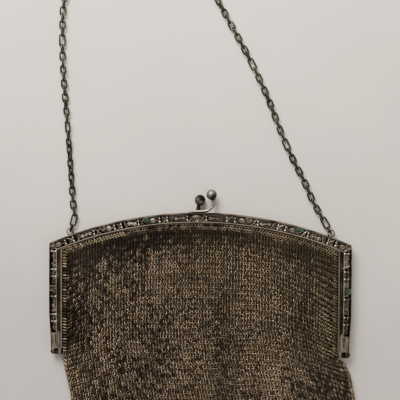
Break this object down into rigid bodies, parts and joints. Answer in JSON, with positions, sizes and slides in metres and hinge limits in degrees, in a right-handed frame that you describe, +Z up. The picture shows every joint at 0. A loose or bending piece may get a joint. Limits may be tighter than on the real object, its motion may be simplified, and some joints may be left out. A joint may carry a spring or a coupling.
{
  "type": "metal mesh purse",
  "caption": "Flat metal mesh purse on an arched pierced frame with a ball clasp, small stone settings and a link carrying chain, lying on its back.",
  "frame": {"origin": "middle of the arch, on the underside of the back half's rail, on the surface that the purse lies on", "axes": "+X to the purse's right as seen from its front, +Y from the bag's bottom towards the chain, +Z up, out of the front face"},
  "size_m": [0.1555, 0.3121, 0.0107],
  "materials": {
    "silvered_frame": "worn silver plate on cast brass, tarnished brown in the hollows",
    "dark_metal": "dark gunmetal wire",
    "satin_clasp": "light grey satin, scuffed",
    "green_stone": "faceted green glass",
    "ring_mesh": "fine linked rings, brown-grey with worn beige glints"
  },
  "bodies": {
    "root": {"frame_front": "silvered_frame", "frame_back": "silvered_frame", "hinge_pin_left": "dark_metal", "hinge_pin_right": "dark_metal", "clasp_front": "satin_clasp", "clasp_back": "satin_clasp", "stone_left": "green_stone", "stone_right_outer": "green_stone", "stone_arm_right": "green_stone", "chain_ring_left": "dark_metal", "chain_ring_right": "dark_metal", "chain": "dark_metal", "mesh_bag": "ring_mesh"}
  },
  "joints": []
}
